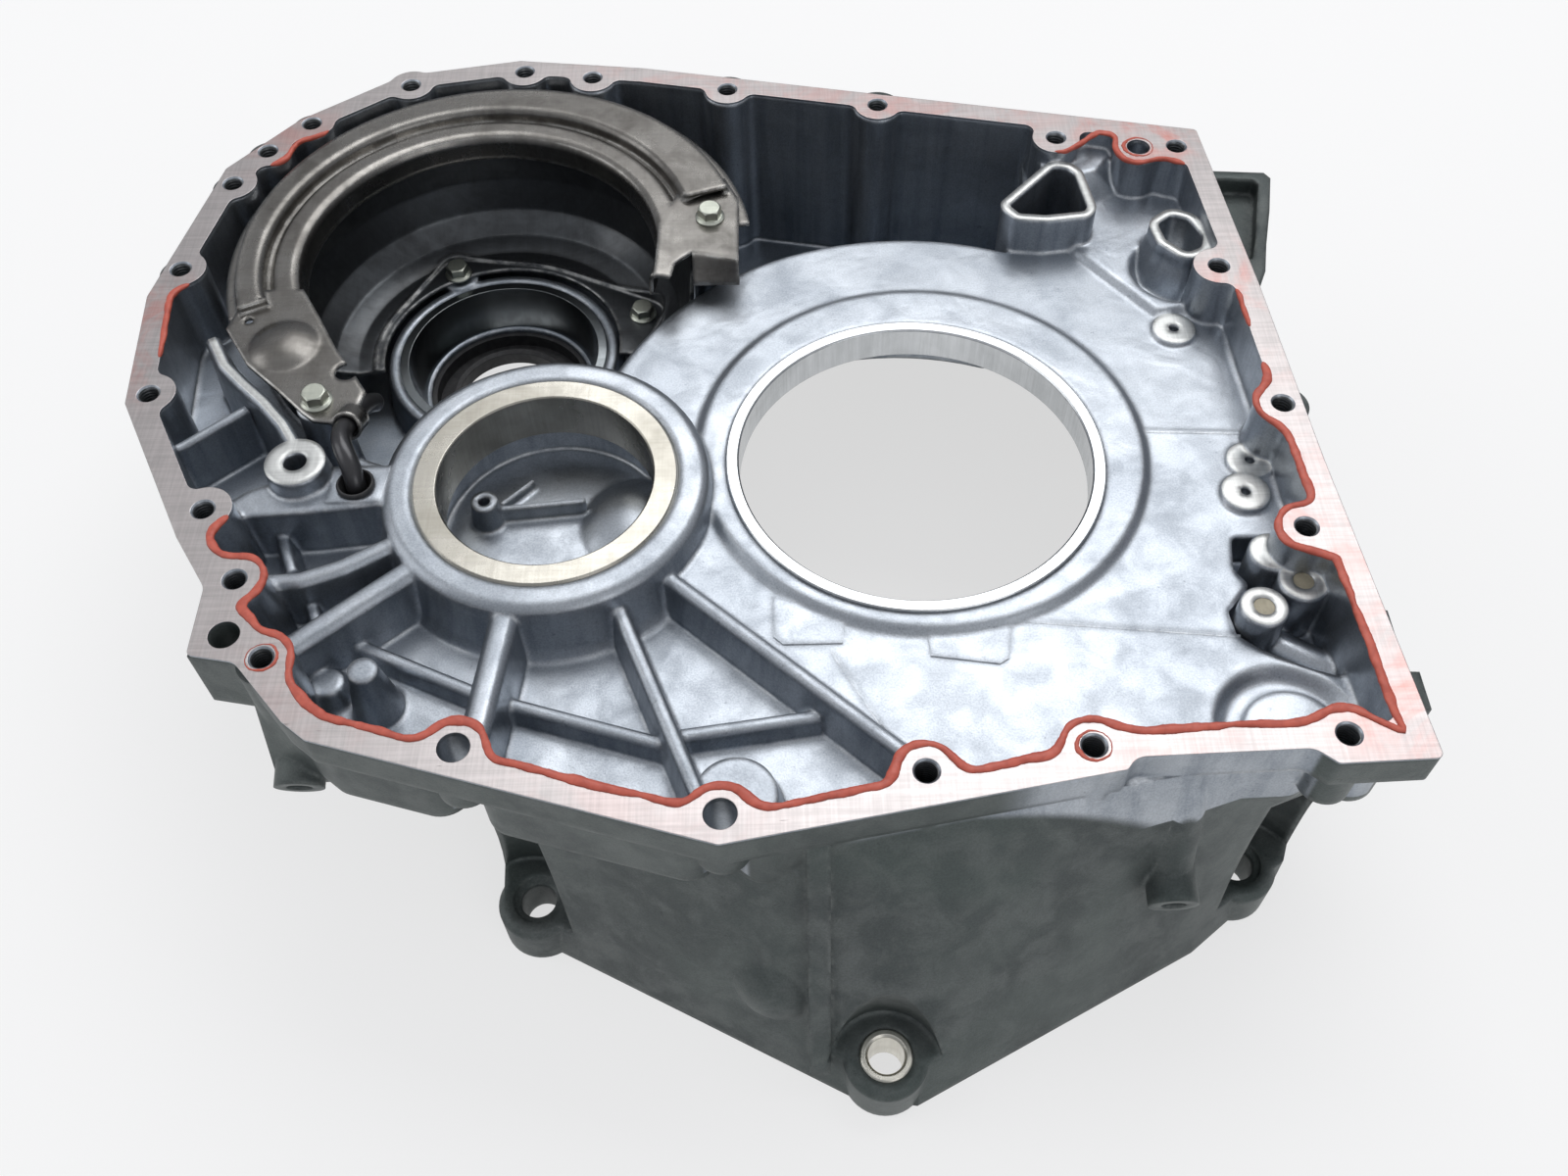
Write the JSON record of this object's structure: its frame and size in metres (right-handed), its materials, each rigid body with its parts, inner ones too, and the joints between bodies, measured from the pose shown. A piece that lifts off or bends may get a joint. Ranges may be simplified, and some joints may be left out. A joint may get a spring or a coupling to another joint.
{
  "type": "gearbox housing",
  "caption": "Cast aluminium half of a transaxle gearbox housing with bell, bearing races, oil baffles and traces of old sealant.",
  "frame": {"origin": "axis of the main bore at the height of the floor plate round it", "axes": "+Z along the main bore towards the split flange, +X towards the straight side of the flange, +Y towards the back, away from the bell's pointed front lug"},
  "size_m": [0.446, 0.4013, 0.1265],
  "materials": {
    "cast_body": "sand cast, machined on the flange, pads and bores; weathered dark outside",
    "ground_steel": "ground and turned bearing steel",
    "pressed_steel": "oily pressed sheet",
    "plated_screws": "zinc plated",
    "dark_pipe": "blackened steel",
    "black_rubber": "moulded",
    "plug_resin": "dull",
    "red_sealant": "cured silicone remains"
  },
  "bodies": {
    "root": {"housing_casting": "cast_body", "main_bore_sleeve": "ground_steel", "layshaft_race": "ground_steel", "diff_race": "ground_steel", "diff_oil_seal": "black_rubber", "upper_baffle": "pressed_steel", "bowl_baffle": "pressed_steel", "screw_upper_right": "plated_screws", "screw_upper_left": "plated_screws", "screw_bowl_back": "plated_screws", "screw_bowl_right": "plated_screws", "oil_pipe": "dark_pipe", "pipe_grommet": "black_rubber", "dowel_bush": "ground_steel", "gallery_plug_a": "plug_resin", "gallery_plug_b": "plug_resin", "sealant_front": "red_sealant", "sealant_right": "red_sealant", "sealant_back_right": "red_sealant", "sealant_left": "red_sealant", "sealant_back_left": "red_sealant"}
  },
  "joints": []
}
